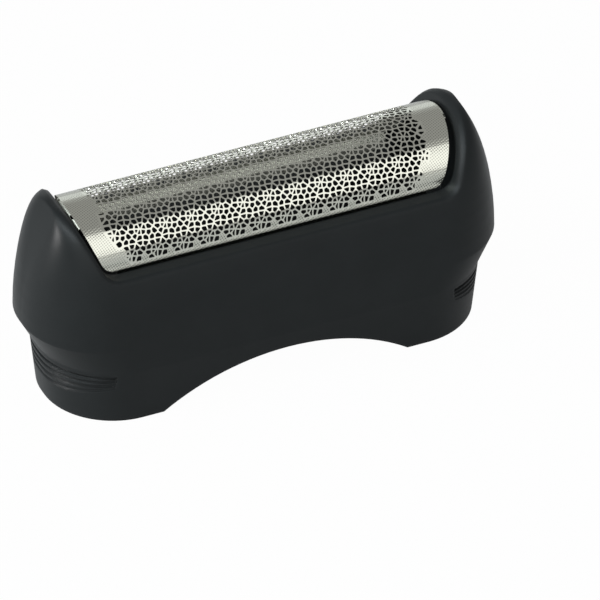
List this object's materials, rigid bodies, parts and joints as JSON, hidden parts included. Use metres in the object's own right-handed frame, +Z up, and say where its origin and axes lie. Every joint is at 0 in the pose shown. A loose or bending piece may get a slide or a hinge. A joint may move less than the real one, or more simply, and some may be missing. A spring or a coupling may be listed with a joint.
{
  "type": "shaver foil head",
  "caption": "Push-fit foil head of a small electric shaver: hollow plastic frame with raised round ears and a perforated metal foil arched between them.",
  "frame": {"origin": "on the standing plane, under the middle of the head", "axes": "+X along the foil, +Y from front to back, +Z up to the foil's crown"},
  "size_m": [0.0608, 0.0204, 0.0273],
  "materials": {
    "frame": "fine matt moulded surface",
    "foil": "bright nickel",
    "clamp_bars": "plain moulded"
  },
  "bodies": {
    "root": {"frame": "frame", "foil": "foil", "front_clamp_bar": "clamp_bars", "rear_clamp_bar": "clamp_bars"}
  },
  "joints": []
}
